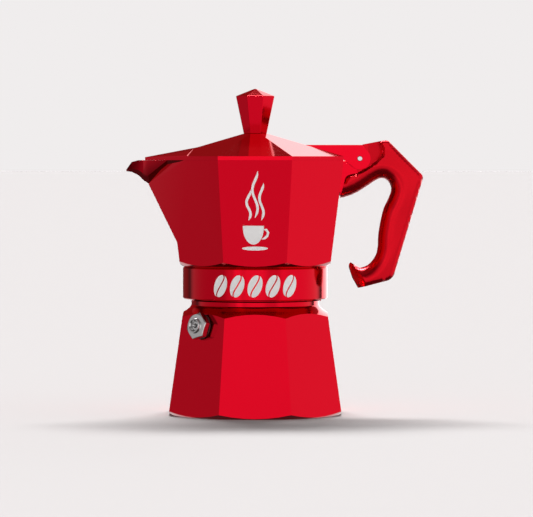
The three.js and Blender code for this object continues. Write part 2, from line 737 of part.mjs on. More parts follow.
function collector() {
  const boss = rod(COLUMN_RADIUS + 3, COLLAR_TOP_Z + 1, FLOOR_Z + COLUMN_BOSS, 48);
  const below = turned([
    [0, COLLAR_FOOT_Z - 1],
    [COLLAR_BORE, COLLAR_FOOT_Z - 1],
    [COLLAR_BORE, SEAT_Z],
    [FILTER_RADIUS + GAP, SEAT_Z],
    [FILTER_RADIUS + GAP, LEDGE_Z],
    [GASKET_INNER_RADIUS - 1, LEDGE_Z],
    [COLUMN_RADIUS, COLLAR_TOP_Z + 2.2],
    [0, COLLAR_TOP_Z + 2.2],
  ]);
  const columnSeat = rod(COLUMN_RADIUS + 0.05, COLLAR_TOP_Z, RIM_Z, 48);
  const body = joined(cut(chamberShell(), chamberHollow()), collarRing(), bracket(), boss);
  const threadZ = MOUTH_Z - 2 - (THREAD_TURNS + 0.5) * THREAD_PITCH;
  const ridge = -(THREAD_DEPTH - 0.1);
  const thread = threadRidge(COLLAR_BORE, ridge, THREAD_TURNS, threadZ, 0);
  return joined(cut(body, below, columnSeat), thread);
}

function column() {
  const foot = COLLAR_TOP_Z + 2.4;
  const top = FLOOR_Z + COLUMN_HEIGHT;
  const tube = turned([
    [0, foot],
    [COLUMN_RADIUS, foot],
    [COLUMN_RADIUS, FLOOR_Z + COLUMN_BOSS],
    [COLUMN_TOP_RADIUS, top - 2],
    [COLUMN_TOP_RADIUS - 1.4, top],
    [0, top],
  ], 48);
  const bore = rod(COLUMN_BORE, foot - 1, top - 1.6, 32);
  const slot = block(-1.4, 1.4, -REACH, REACH, top - 7, top - 2.4);
  return cut(tube, bore, slot);
}

// ---------------------------------------------------------------- lid

function lidRoof(z0, drop) {
  const flats = (z) => CHAMBER_RIM_FLATS - 2 * (z + drop - LID_EDGE_Z) / LID_SLOPE;
  const top = LID_TOP_Z - drop;
  return octagon(flats(z0), flats(top), z0, top);
}

const TONGUE_X = -TONGUE_SHARE * CHAMBER_RIM_FLATS / 2;

// The tongue over the beak: two shallow roof planes over a pointed plan.
function lidTongue(drop, floorZ) {
  const ridgeSlope = TONGUE_SHARE * LID_SLOPE;
  const side = beak.rim(1);
  const tipX = beak.keel.x - 1.8 + drop * 2;
  const ridgeZ = LID_EDGE_Z + LID_SLOPE * (CHAMBER_RIM_FLATS / 2 + TONGUE_X) - drop;
  const tipZ = ridgeZ - ridgeSlope * (TONGUE_X - tipX) - drop * 0.2;
  const edgeZ = LID_EDGE_Z + 0.4 - drop;
  const width = side.y - 1.2 * drop;
  const root = 1.5; // how far the tongue reaches back under the roof
  // where the crease from ridge to rim crosses the roof's corner edge
  const lean = (TONGUE_X - side.x) / side.y;
  const cornerS = -TONGUE_X / (1 - lean * Math.tan(Math.PI / 8));
  const cornerY = cornerS * Math.tan(Math.PI / 8);
  const cornerZ = LID_EDGE_Z + LID_SLOPE * (CHAMBER_RIM_FLATS / 2 - cornerS) - drop;
  return hull([
    [TONGUE_X, 0, ridgeZ],
    [TONGUE_X, 0, floorZ],
    [tipX, 0.9, tipZ],
    [tipX, -0.9, tipZ],
    [tipX, 0.9, floorZ],
    [tipX, -0.9, floorZ],
    [side.x, width, edgeZ],
    [side.x, -width, edgeZ],
    [side.x, width, floorZ],
    [side.x, -width, floorZ],
    [-cornerS, cornerY, cornerZ],
    [-cornerS, -cornerY, cornerZ],
    [TONGUE_X + root, 0, ridgeZ - root],
    [TONGUE_X + root, 0, floorZ],
    [side.x + root, width - root, floorZ],
    [side.x + root, root - width, floorZ],
  ]);
}

function lid() {
  const side = beak.rim(1);
  const rim = octagon(CHAMBER_RIM_FLATS, CHAMBER_RIM_FLATS, LID_Z, LID_EDGE_Z);
  const roof = joined(rim, lidRoof(LID_EDGE_Z - 0.01, 0));
  const beakSide = plate(outline([
    [TONGUE_X, 0],
    [side.x, -side.y],
    [side.x - 1, -side.y - 6],
    [-REACH, -side.y - 6],
    [-REACH, side.y + 6],
    [side.x - 1, side.y + 6],
    [side.x, side.y],
  ]), REACH).rotate([90, 0, 0]);
  const outer = joined(cut(roof, beakSide), lidTongue(0, LID_Z));
  const innerRim = CHAMBER_RIM_FLATS - 2 * CHAMBER_WALL;
  const skirtFlats = innerRim - 2 * GAP - 0.6;
  const skirt = cut(
    octagon(skirtFlats, skirtFlats, LID_Z - LID_SKIRT, LID_Z + 1),
    octagon(skirtFlats - 3, skirtFlats - 3, LID_Z - LID_SKIRT - 1, LID_Z + 2),
    beyond(new THREE.Vector3(side.x + 6, 0, 0), new THREE.Vector3(-1, 0, 0)),
  );
  const hollow = joined(
    lidRoof(LID_Z - 0.5, LID_THICKNESS + 0.3).intersect(lidPlan(innerRim)),
    lidTongue(LID_THICKNESS, LID_Z - 0.5),
  );
  const arm = block(
    CHAMBER_RIM_FLATS / 4, PIN_X - 3.8, -EAR_HALF, EAR_HALF, LID_Z + 0.7, PIN_Z + ARM_RISE,
  );
  const earShape = outline([
    [PIN_X - 9, LID_Z + 0.7],
    [PIN_X - 3.8, PIN_Z - 3.8],
    [PIN_X + 5, PIN_Z + 2],
    [PIN_X + 1.4, PIN_Z + ARM_RISE],
    [PIN_X - 9, PIN_Z + ARM_RISE],
  ]);
  const ears = joined(plate(earShape, EAR_HALF), hingeRod(EAR_RADIUS, -EAR_HALF, EAR_HALF, 40));
  const slot = block(
    PIN_X - ARM_SLOT, PIN_X + 9, -CHEEK_HALF - GAP, CHEEK_HALF + GAP, LID_Z - 9, PIN_Z + 12,
  );
  const screwHole = rod(SCREW_RADIUS + 0.2, LID_Z, LID_TOP_Z + 1);
  const screwBoss = rod(WASHER_RADIUS + 1.4, LID_TOP_Z - LID_BOSS, LID_TOP_Z - 1, 32);
  return cut(
    joined(cut(outer, hollow), skirt, cut(arm, hollow), ears, screwBoss),
    slot,
    screwHole,
    hingeRod(PIN_RADIUS + RUNNING_GAP, -REACH, REACH),
  );
}

function lidPlan(flats) {
  return octagon(flats, flats, LID_Z - 1, LID_TOP_Z + 1);
}

// ---------------------------------------------------------------- knob

const KNOB_Z = LID_TOP_Z + GAP;
const INSERT_LENGTH = SCREW_LENGTH - 4;
const SCREW_HEAD_Z = LID_TOP_Z - LID_BOSS - GAP - WASHER_THICKNESS - GAP;

function knob() {
  const edge = KNOB_Z + KNOB_HEIGHT;
  const flare = octagon(KNOB_FOOT_FLATS, KNOB_TOP_FLATS, KNOB_Z, edge);
  const peak = octagon(KNOB_TOP_FLATS, 0.4, edge - 0.01, edge + KNOB_PEAK);
  const socket = rod(INSERT_RADIUS + 0.05, KNOB_Z - 1, KNOB_Z + INSERT_LENGTH + GAP, 32);
  const tipRoom = rod(SCREW_RADIUS + 0.3, KNOB_Z, SCREW_HEAD_Z + SCREW_LENGTH + 1);
  return cut(joined(flare, peak), socket, tipRoom);
}

function knobInsert() {
  return ring(SCREW_RADIUS + RUNNING_GAP, INSERT_RADIUS, KNOB_Z, KNOB_Z + INSERT_LENGTH, 32);
}

function knobWasher() {
  const top = LID_TOP_Z - LID_BOSS - GAP;
  return ring(SCREW_RADIUS + 0.2, WASHER_RADIUS, top - WASHER_THICKNESS, top, 32);
}

function knobScrew() {
  const shank = rod(SCREW_RADIUS, SCREW_HEAD_Z - 1, SCREW_HEAD_Z + SCREW_LENGTH);
  const head = turned([
    [0, SCREW_HEAD_Z - 2.2],
    [2.4, SCREW_HEAD_Z - 2.2],
    [3.6, SCREW_HEAD_Z - 1.2],
    [3.6, SCREW_HEAD_Z],
    [0, SCREW_HEAD_Z],
  ], 32);
  const slot = block(-5, 5, -0.5, 0.5, SCREW_HEAD_Z - 3, SCREW_HEAD_Z - 1.2);
  return cut(joined(head, shank), slot);
}

// ---------------------------------------------------------------- hinge pin and handle

function hingePin() {
  return hingeRod(PIN_RADIUS, -EAR_HALF - 0.7, EAR_HALF + 0.7, 32);
}

// The handle's side outline, from the hinge axis: over the top, down the outside to the
// tail, back up the inside and along the arm to the wall.
function handleOutline() {
  const at = (x, z) => [PIN_X + x, PIN_Z + z];
  const shape = new THREE.Shape();
  shape.moveTo(...at(1.8, 7.0));
  shape.lineTo(...at(12.3, 9.0));
  shape.quadraticCurveTo(...at(14.6, 9.5), ...at(16.0, 7.9));
  shape.lineTo(...at(30.6, -7.3));
  shape.quadraticCurveTo(...at(32.6, -9.3), ...at(31.8, -12.2));
  shape.lineTo(...at(18.2, -57.0));
  shape.quadraticCurveTo(...at(17.2, -60.6), ...at(13.5, -62.2));
  shape.lineTo(...at(-0.7, -65.8));
  shape.lineTo(...at(-5.4, -55.0));
  shape.lineTo(...at(-4.2, -52.9));
  shape.lineTo(...at(1.3, -55.6));
  shape.quadraticCurveTo(...at(5.6, -54.2), ...at(9.0, -48.9));
  shape.lineTo(...at(9.5, -39.5));
  shape.lineTo(...at(12.3, -25.2));
  shape.quadraticCurveTo(...at(17.8, -16.6), ...at(15.4, -12.9));
  shape.quadraticCurveTo(...at(13.2, -8.8), ...at(8.5, -11.0));
  shape.quadraticCurveTo(...at(-0.5, -18.6), ...at(-10.0, -20.3));
  shape.lineTo(...at(-8.0, -13.4));
  shape.quadraticCurveTo(...at(-7.4, -8.6), ...at(-0.9, -7.4));
  shape.lineTo(...at(1.8, -7.0));
  return shape;
}

function handle() {
  const body = plate(handleOutline(), HANDLE_HALF, HANDLE_BEVEL);
  const neck = plate(outline([
    [PIN_X, PIN_Z - 5],
    [PIN_X + 8, PIN_Z - 7],
    [PIN_X + 8, PIN_Z + 7.6],
    [PIN_X + 1.8, PIN_Z + 6.8],
    [PIN_X + 1.8, PIN_Z + 4.6],
  ]), CHEEK_HALF);
  const tongue = joined(neck, hingeRod(5, -CHEEK_HALF, CHEEK_HALF, 40));
  const swing = ARM_RISE + 2.5;
  const earRoom = (side) => {
    const inner = side * (CHEEK_HALF + 0.02);
    const outer = side * (HANDLE_HALF + 1);
    const [y0, y1] = [Math.min(inner, outer), Math.max(inner, outer)];
    const seat = hingeRod(SEAT_RADIUS + GAP, y0, y1, 48);
    const right = hingeRod(swing, y0, y1, 48)
      .intersect(block(PIN_X, PIN_X + REACH, y0 - 1, y1 + 1, PIN_Z - 3, PIN_Z + REACH));
    const above = block(PIN_X - 9, PIN_X + swing, y0, y1, PIN_Z, PIN_Z + 20);
    return joined(seat, right, above);
  };
  const bracketRoom = plate(outline([
    [0, PIN_Z - 40],
    [PIN_X + 6 + GAP, PIN_Z - 40],
    [PIN_X + 6 + GAP, PIN_Z - 2.9],
    [PIN_X + 5, PIN_Z - 4],
    [PIN_X + 3, PIN_Z - SEAT_RADIUS + 1.2],
    [0, PIN_Z - SEAT_RADIUS + 1.2],
  ]), BRACKET_HALF + GAP).intersect(block(0, REACH, -REACH, REACH, PIN_Z - 24, PIN_Z));
  const lugRoom = plate(outline([
    [PIN_X - 9, PIN_Z - 9],
    [PIN_X + 6 + GAP, PIN_Z - 9],
    [PIN_X + 5, PIN_Z - 2],
    [PIN_X + 5, PIN_Z + 5],
    [PIN_X - 9, PIN_Z + 5],
  ]), LUG_HALF + GAP);
  const wall = octagon(
    CHAMBER_FOOT_FLATS + 2, CHAMBER_RIM_FLATS + 2, COLLAR_TOP_Z, RIM_Z,
  );
  return cut(
    joined(cut(body, bothSides(earRoom)), tongue),
    bracketRoom,
    lugRoom,
    wall,
    hingeRod(PIN_RADIUS + RUNNING_GAP, -REACH, REACH),
  );
}

// ---------------------------------------------------------------- assembly

function geometryOf(solid) {
  const { vertProperties, triVerts } = solid.getMesh();
  const geometry = new THREE.BufferGeometry();
  geometry.setAttribute('position', new THREE.Float32BufferAttribute(vertProperties, 3));
  geometry.setIndex(Array.from(triVerts));
  geometry.computeVertexNormals();
  return geometry;
}

function part(name, solid, look) {
  const mesh = new THREE.Mesh(geometryOf(solid), new THREE.MeshStandardMaterial(look));
  mesh.name = name;
  return mesh;
}

const pot = new THREE.Group();

valveFrame.add(
  part('valve_washer', valveWasher(), RUBBER),
  part('valve_body', valveBody(), STEEL),
  part('valve_seal', valveSeal(), RUBBER),
  part('valve_piston', valvePiston(), STEEL),
  part('valve_spring', valveSpring(), STEEL),
  part('valve_retainer', valveRetainer(), STEEL),
);

pot.add(
  part('boiler', boiler(), RED),
  valveFrame,
  part('funnel_cup', funnelCup(), ALUMINIUM),
  part('funnel_strainer', funnelStrainer(), ALUMINIUM),
  part('funnel_stem', funnelStem(), ALUMINIUM),
  part('gasket', gasket(), RUBBER),
  part('filter_plate', filterPlate(), ALUMINIUM),
  part('collector', collector(), RED),
  part('column', column(), ALUMINIUM),
  part('lid', lid(), RED),
  part('knob', knob(), HANDLE_RED),
  part('knob_insert', knobInsert(), BRASS),
  part('knob_washer', knobWasher(), STEEL),
  part('knob_screw', knobScrew(), STEEL),
  part('hinge_pin', hingePin(), STEEL),
  part('handle', handle(), HANDLE_RED),
);

export default pot;
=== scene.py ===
# %% [markdown]
# # A red stove-top coffee pot
#
# This lesson dresses the engineered frame of a three-cup pot: an octagonal boiler, an
# upper chamber with a pouring beak, a shallow faceted lid, a bent handle and a safety
# valve. The frame fixes every size and joint. Here each visible piece gets its fine
# shape and its finish, a studio floor, soft light and a camera.

# %% Load the frame
import bmesh
import bpy
import json
import math
from mathutils import Matrix, Vector


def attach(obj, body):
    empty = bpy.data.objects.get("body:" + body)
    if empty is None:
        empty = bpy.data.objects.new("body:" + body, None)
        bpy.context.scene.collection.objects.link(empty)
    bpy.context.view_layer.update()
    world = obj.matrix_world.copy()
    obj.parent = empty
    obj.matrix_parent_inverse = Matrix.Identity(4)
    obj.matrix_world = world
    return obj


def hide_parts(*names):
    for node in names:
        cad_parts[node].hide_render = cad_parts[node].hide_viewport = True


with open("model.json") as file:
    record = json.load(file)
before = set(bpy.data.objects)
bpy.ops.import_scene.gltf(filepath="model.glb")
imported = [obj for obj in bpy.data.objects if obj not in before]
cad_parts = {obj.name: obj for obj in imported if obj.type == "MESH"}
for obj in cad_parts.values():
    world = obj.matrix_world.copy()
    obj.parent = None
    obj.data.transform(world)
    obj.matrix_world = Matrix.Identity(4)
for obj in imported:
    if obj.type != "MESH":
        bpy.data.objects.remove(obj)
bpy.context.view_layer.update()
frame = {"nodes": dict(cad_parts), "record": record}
MM = 0.001

# %% [markdown]
# ## Finishes
#
# The pot is cast aluminium under a tinted clear lacquer, so it mirrors its surroundings
# in red. A metallic shader gives that tinted mirror, and a thin coat lays a little white
# gloss over it. A sprayed surface is never perfectly even: a broad noise makes the
# roughness wander, and a fine noise raises a faint orange peel. One helper makes every
# finish, because they differ only in these few numbers.

# %% A helper for finishes
def finish(name, colour, metallic, roughness, wander=0.03, grain=0.0, grain_scale=900.0):
    """A finish whose roughness wanders, with a fine raised grain."""
    made = bpy.data.materials.new(name)
    made.use_nodes = True
    nodes, links = made.node_tree.nodes, made.node_tree.links
    shader = nodes["Principled BSDF"]
    shader.inputs["Base Color"].default_value = (*colour, 1.0)
    shader.inputs["Metallic"].default_value = metallic
    place = nodes.new("ShaderNodeTexCoord")
    broad = nodes.new("ShaderNodeTexNoise")
    broad.inputs["Scale"].default_value = 60.0
    broad.inputs["Detail"].default_value = 4.0
    links.new(place.outputs["Object"], broad.inputs["Vector"])
    level = nodes.new("ShaderNodeMapRange")
    level.inputs["To Min"].default_value = max(0.02, roughness - wander)
    level.inputs["To Max"].default_value = roughness + wander
    links.new(broad.outputs["Fac"], level.inputs["Value"])
    links.new(level.outputs["Result"], shader.inputs["Roughness"])
    if grain > 0:
        fine = nodes.new("ShaderNodeTexNoise")
        fine.inputs["Scale"].default_value = grain_scale
        fine.inputs["Detail"].default_value = 2.0
        links.new(place.outputs["Object"], fine.inputs["Vector"])
        bump = nodes.new("ShaderNodeBump")
        bump.inputs["Strength"].default_value = grain
        bump.inputs["Distance"].default_value = 0.02 * MM
        links.new(fine.outputs["Fac"], bump.inputs["Height"])
        links.new(bump.outputs["Normal"], shader.inputs["Normal"])
    return made


def shader_of(made):
    return made.node_tree.nodes["Principled BSDF"]


# %% The finishes
lacquer = finish("tinted_lacquer", (0.64, 0.001, 0.014), 1.0, 0.11, 0.02, 0.1)
shader_of(lacquer).inputs["Coat Weight"].default_value = 0.05
shader_of(lacquer).inputs["Coat Roughness"].default_value = 0.05
handle_red = finish("satin_red_paint", (0.62, 0.001, 0.01), 0.95, 0.24, 0.03, 0.2, 1400.0)
shader_of(handle_red).inputs["Coat Weight"].default_value = 0.06
shader_of(handle_red).inputs["Coat Roughness"].default_value = 0.15
aluminium = finish("satin_aluminium", (0.80, 0.81, 0.82), 1.0, 0.3, 0.06, 0.4, 600.0)
steel = finish("bright_steel", (0.58, 0.57, 0.57), 1.0, 0.16, 0.05, 0.1, 700.0)
brass = finish("brass", (0.78, 0.58, 0.25), 1.0, 0.28, 0.05, 0.2, 700.0)
rubber = finish("cream_rubber", (0.75, 0.72, 0.64), 0.0, 0.7, 0.08, 0.5, 500.0)
dark_rubber = finish("dark_rubber", (0.06, 0.012, 0.012), 0.0, 0.5, 0.05, 0.4, 500.0)
SLOTS = {
    "red_metal": lacquer,
    "red_handle": handle_red,
    "aluminium": aluminium,
    "steel": steel,
    "brass": brass,
    "seal_rubber": rubber,
}
print("finishes:", ", ".join(SLOTS))

# %% [markdown]
# ## Edges that catch the light
#
# No real edge is perfectly sharp: castings and turned parts have a small radius, and its
# thin highlight tells the eye how big the part is. The engineered solids have knife
# edges, so each one that already has the right shape is copied, its loose triangles are
# merged, flat facets are joined, and a Bevel modifier rounds every crease. A Weighted
# Normal modifier then lets the large faces decide the shading, so the flats stay flat.

# %% A helper that rounds the edges of an engineered solid
SUBPARTS = {part["node"]: part for part in frame["record"]["subparts"]}


def body_of(node):
    for name, body in frame["record"]["behaviour"]["bodies"].items():
        if node in body:
            return name
    raise KeyError(node)


def settle(piece, body, slot, nodes, made=None):
    """Give a piece its finish, its body, and the nodes it stands for."""
    piece.data.materials.clear()
    piece.data.materials.append(made or SLOTS[slot])
    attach(piece, body)
    if nodes:
        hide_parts(*nodes)
    return piece


def object_from(shape, name):
    mesh = bpy.data.meshes.new(name)
    shape.to_mesh(mesh)
    shape.free()
    piece = bpy.data.objects.new(name, mesh)
    bpy.context.scene.collection.objects.link(piece)
    return piece


def merged_copy(node):
    shape = bmesh.new()
    shape.from_mesh(frame["nodes"][node].data)
    bmesh.ops.remove_doubles(shape, verts=shape.verts, dist=0.001 * MM)
    bmesh.ops.dissolve_limit(
        shape, angle_limit=math.radians(0.4), verts=shape.verts, edges=shape.edges)
    return shape


def round_edges(piece, width, above=15.0, segments=2):
    """Round the creases sharper than an angle, and keep the flats flat."""
    for face in piece.data.polygons:
        face.use_smooth = True
    rounding = piece.modifiers.new("edges", "BEVEL")
    rounding.width = width * MM
    rounding.segments = segments
    rounding.limit_method = "ANGLE"
    rounding.angle_limit = math.radians(above)
    flattening = piece.modifiers.new("flats", "WEIGHTED_NORMAL")
    flattening.keep_sharp = True
    flattening.weight = 90
    return piece


def rounded(node, width, above=15.0, segments=2):
    piece = object_from(merged_copy(node), node + "_rounded")
    round_edges(piece, width, above, segments)
    part = SUBPARTS[node]
    return settle(piece, body_of(node), part["material_slot"], [node])


# %% Round the small parts and the parts inside
ROUNDING = {
    "boiler": 0.35, "collector": 0.3, "valve_washer": 0.15, "valve_body": 0.25,
    "valve_piston": 0.15, "valve_retainer": 0.1, "funnel_cup": 0.25, "funnel_strainer": 0.1,
    "funnel_stem": 0.2, "column": 0.25, "knob_washer": 0.1, "knob_screw": 0.2,
    "knob_insert": 0.1, "hinge_pin": 0.25, "gasket": 0.4,
}
pieces = {node: rounded(node, width) for node, width in ROUNDING.items()}

# %% Round the lid, and let its rim down onto the chamber
LID_UNDERSIDE_Z, CHAMBER_RIM_Z = 129.0, 128.7
RIM_GAP = 0.03
LID_FOLD = 9.5  # degrees; the roof's facets meet at a shallow angle
lid_shape = merged_copy("lid")
underside = [v for v in lid_shape.verts if abs(v.co.z / MM - LID_UNDERSIDE_Z) < 0.02]
bmesh.ops.translate(
    lid_shape, vec=(0, 0, (CHAMBER_RIM_Z + RIM_GAP - LID_UNDERSIDE_Z) * MM), verts=underside)
pieces["lid"] = round_edges(object_from(lid_shape, "lid_rounded"), 0.2, LID_FOLD)
settle(pieces["lid"], "lid", "red_metal", ["lid"])

# %% Give the solids their finishes too
for node, solid in frame["nodes"].items():
    solid.data.materials.clear()
    solid.data.materials.append(SLOTS[SUBPARTS[node]["material_slot"]])
valve_rubbers = [frame["nodes"][node] for node in ("valve_washer", "valve_seal")]
for piece in (pieces["valve_washer"], *valve_rubbers):
    piece.data.materials[0] = dark_rubber
print("rounded", len(pieces), "parts")

# %% [markdown]
# ## The knob
#
# The knob is an eight-sided moulding that widens upwards and ends in a low point. It
# starts as an eight-sided circle of edges, which is extruded up twice: once to the
# widest place, once to the point. Its foot is let down over the washer, as on the real
# knob, which has a shallow recess there.

# %% Build the knob
KNOB_FOOT_Z, KNOB_WIDEST_Z, KNOB_TOP_Z = 142.15, 161.1, 165.05
KNOB_FOOT_FLAT, KNOB_WIDEST_FLAT = 5.8, 9.75  # from the axis to a flat
EIGHTH_HALF = math.radians(22.5)


def octagon_radius(flat):
    return flat / math.cos(EIGHTH_HALF)


def knob():
    shape = bmesh.new()
    bmesh.ops.create_circle(shape, segments=8, radius=octagon_radius(KNOB_FOOT_FLAT) * MM)
    turn = Matrix.Rotation(EIGHTH_HALF, 3, "Z")
    bmesh.ops.rotate(shape, matrix=turn, verts=shape.verts)
    bmesh.ops.translate(shape, vec=(0, 0, KNOB_FOOT_Z * MM), verts=shape.verts)
    foot = bmesh.ops.contextual_create(shape, geom=shape.edges)["faces"]
    rising = bmesh.ops.extrude_face_region(shape, geom=foot, use_keep_orig=True)["geom"]
    ring = [v for v in rising if isinstance(v, bmesh.types.BMVert)]
    wider = KNOB_WIDEST_FLAT / KNOB_FOOT_FLAT
    bmesh.ops.scale(shape, vec=(wider, wider, 1), verts=ring)
    bmesh.ops.translate(shape, vec=(0, 0, (KNOB_WIDEST_Z - KNOB_FOOT_Z) * MM), verts=ring)
    cap = [f for f in rising if isinstance(f, bmesh.types.BMFace)]
    tip = bmesh.ops.poke(shape, faces=cap)["verts"]
    bmesh.ops.translate(shape, vec=(0, 0, (KNOB_TOP_Z - KNOB_WIDEST_Z) * MM), verts=tip)
    bmesh.ops.recalc_face_normals(shape, faces=shape.faces)
    return shape


knob_piece = round_edges(object_from(knob(), "knob_facets"), 0.3)
settle(knob_piece, "lid", "red_metal", ["knob"])
print("knob:", len(knob_piece.data.polygons), "faces before rounding")

# %% [markdown]
# ## The handle
#
# The handle is one moulding with a flat back, a soft ridge along each side and a full
# round towards the fingers. Near the hinge it is scooped out so that the lid's ears can
# swing. Its side view is a flat face; insets give rings of faces along the edge, and
# cuts give a grid inside. Every point is then pushed out sideways by the handle's half
# width there, the least of a few simple profiles. The half is mirrored at the end.

# %% The handle's side view
PIN = (52.8, 129.5)  # the hinge pin's x and z
EYE_RADIUS = 5


def filleted(corners, steps=7):
    """Points along straight lines whose corners (x, z, radius) are rounded."""
    path = []
    for index, (x, z, radius) in enumerate(corners):
        here = Vector((x, z))
        if radius == 0:
            path.append(here)
            continue
        before = Vector(corners[index - 1][:2]) - here
        after = Vector(corners[(index + 1) % len(corners)][:2]) - here
        half = before.angle(after) / 2
        reach = radius / math.tan(half)
        start, end = here + before.normalized() * reach, here + after.normalized() * reach
        for step in range(steps + 1):
            t = step / steps
            path.append(start.lerp(here, t).lerp(here.lerp(end, t), t))
    return path


def flowing(points, steps=5):
    """Points along a smooth curve that passes through every given point."""
    points = [Vector(point) for point in points]
    points = [2 * points[0] - points[1], *points, 2 * points[-1] - points[-2]]
    path = []
    for a, b, c, d in zip(points, points[1:], points[2:], points[3:]):
        for step in range(steps):
            t = step / steps
            path.append(0.5 * (2 * b + (c - a) * t + (2 * a - 5 * b + 4 * c - d) * t * t
                               + (3 * b - a - 3 * c + d) * t ** 3))
    return [*path, points[-2]]


BACK = filleted([
    (54.6, 134.1, 0), (54.6, 136.7, 0), (66.78, 139.02, 2.5), (85.15, 120.65, 3.0),
    (69.58, 68.46, 6.0), (52.1, 63.9, 0)])
TAIL = [Vector((52.1, 63.9)), Vector((49.1, 69.2)), Vector((47.4, 74.6)), Vector((47.6, 76.2))]
GRIP = flowing([
    (48.6, 76.9), (50.4, 75.6), (52.4, 74.5), (54.4, 74.3), (57.8, 76.0), (60.8, 79.7),
    (62.1, 84.0), (62.4, 90.0), (63.2, 95.8), (65.0, 103.6), (67.6, 109.3), (69.0, 113.6),
    (68.2, 116.9), (66.3, 119.0), (64.0, 119.6), (61.3, 118.7), (56.4, 115.5),
    (52.1, 112.8), (47.7, 110.8), (42.9, 109.5)])
SHOULDER = flowing([(44.9, 117.2), (45.9, 120.3), (48.4, 121.6), (51.9, 122.2)])
EYE = [Vector((PIN[0] + EYE_RADIUS * math.sin(angle), PIN[1] - EYE_RADIUS * math.cos(angle)))
       for angle in [math.radians(-15 * step) for step in range(1, 12)]]


def divided(corners, longest=1.4):
    """The same closed outline with its long sides cut into short ones."""
    path = []
    for a, b in zip(corners, corners[1:] + corners[:1]):
        count = max(1, math.ceil((b - a).length / longest))
        path += [a.lerp(b, step / count) for step in range(count)]
    return path


OUTLINE = divided(BACK + TAIL[1:] + GRIP + SHOULDER + EYE)
print("handle outline:", len(OUTLINE), "points")

# %% The handle's half width
HANDLE_HALF = 9.0
SCOOP_HALF = 6.26
SCOOP_TAPER, SCOOP_TAPER_X = 0.27, 57.0
SCOOP_STEP = 0.7
GRIP_ROUND, GRIP_TAPER = 6.4, 0.09
SCOOP_EDGE = flowing([
    (44.0, 119.6), (48.0, 121.4), (51.9, 122.3), (57.7, 125.3), (63.2, 129.9),
    (64.9, 132.9), (64.0, 136.0), (61.0, 140.0)])


def away(point, path):
    """Distance from a point to a path of straight pieces."""
    best = 1e9
    for a, b in zip(path, path[1:]):
        along_path = b - a
        length = max(along_path.length_squared, 1e-9)
        t = min(1, max(0, (point - a).dot(along_path) / length))
        best = min(best, (point - (a + along_path * t)).length)
    return best


def beyond_edge(point, path):
    """Distance from a point to a path, negative on the path's left."""
    a, b = min(zip(path, path[1:]), key=lambda pair: away(point, pair))
    return math.copysign(away(point, (a, b)), (b - a).cross(a - point))


def rise(distance, over):
    """A quarter ellipse from 0 at the edge to 1 at the given distance."""
    t = min(1, max(0, distance / over))
    return math.sqrt(1 - (1 - t) ** 2)


def ease(value, low, high):
    t = min(1, max(0, (value - low) / (high - low)))
    return t * t * (3 - 2 * t)


def edge_profile(edge_half, distance, over):
    """The half width that rises from its value at an edge to the full one."""
    return edge_half + (HANDLE_HALF - edge_half) * rise(distance, over)


def half_width(point):
    to_grip = away(point, GRIP)
    scooped = SCOOP_HALF - SCOOP_TAPER * max(0, point.x - SCOOP_TAPER_X)
    out_of_scoop = ease(beyond_edge(point, SCOOP_EDGE), 0.0, SCOOP_STEP)
    return min(
        edge_profile(2.6, to_grip, 7.0),
        HANDLE_HALF - GRIP_TAPER * min(8, max(0, to_grip - GRIP_ROUND)),
        edge_profile(6.6, away(point, BACK), 2.6),
        edge_profile(7.6, away(point, SHOULDER), 1.6),
        0.05 + 2.0 * away(point, TAIL),
        scooped + (HANDLE_HALF - scooped) * out_of_scoop,
    )


# %% Build the handle
INSIDE = 1  # marks the faces that the grid may cut
RINGS = (0.12, 0.2, 0.3, 0.4, 0.5, 0.6, 0.8)  # widths of the rings of faces, from the edge
SCOOP_X, SCOOP_Z = (50, 68), (121, 139)
CUT_MARGIN, FINE_CUT, COARSE_CUT = 0.6, 0.5, 1.3


def cut_places(start, end, fine):
    """Places for cuts, closer together within the fine range."""
    at, places = start + CUT_MARGIN, []
    while at < end - CUT_MARGIN:
        places.append(at)
        at += FINE_CUT if fine[0] < at < fine[1] else COARSE_CUT
    return places


def handle():
    shape = bmesh.new()
    rim = [shape.verts.new((p.x, 0, p.y)) for p in OUTLINE]
    side = shape.faces.new(rim)
    for thickness in RINGS:
        bmesh.ops.inset_region(shape, faces=[side], thickness=thickness, use_even_offset=True)
    side.material_index = INSIDE
    low = [min(v.co[axis] for v in shape.verts) for axis in (0, 2)]
    high = [max(v.co[axis] for v in shape.verts) for axis in (0, 2)]
    cuts = [((at, 0, at), (1, 0, 0)) for at in cut_places(low[0], high[0], SCOOP_X)]
    cuts += [((at, 0, at), (0, 0, 1)) for at in cut_places(low[1], high[1], SCOOP_Z)]
    for at, normal in cuts:
        inside = [f for f in shape.faces if f.material_index == INSIDE]
        around = {part for f in inside for part in (*f.verts, *f.edges)}
        bmesh.ops.bisect_plane(
            shape, geom=[*inside, *around], dist=1e-4, plane_co=at, plane_no=normal)
    for face in shape.faces:
        face.material_index = 0
    edge = [e for e in shape.edges if e.is_boundary]
    for vert in shape.verts:
        vert.co.y = -half_width(Vector((vert.co.x, vert.co.z)))
    seam = bmesh.ops.extrude_edge_only(shape, edges=edge)["geom"]
    for vert in [v for v in seam if isinstance(v, bmesh.types.BMVert)]:
        vert.co.y = 0
    whole = [*shape.verts, *shape.edges, *shape.faces]
    bmesh.ops.mirror(shape, geom=whole, axis="Y", merge_dist=1e-4)
    bmesh.ops.remove_doubles(shape, verts=shape.verts, dist=1e-3)
    bmesh.ops.recalc_face_normals(shape, faces=shape.faces)
    bmesh.ops.scale(shape, vec=(MM, MM, MM), verts=shape.verts)
    return shape


def smooth_with_creases(piece, above=50.0):
    piece.data.shade_smooth()
    piece.data.set_sharp_from_angle(angle=math.radians(above))
    return piece


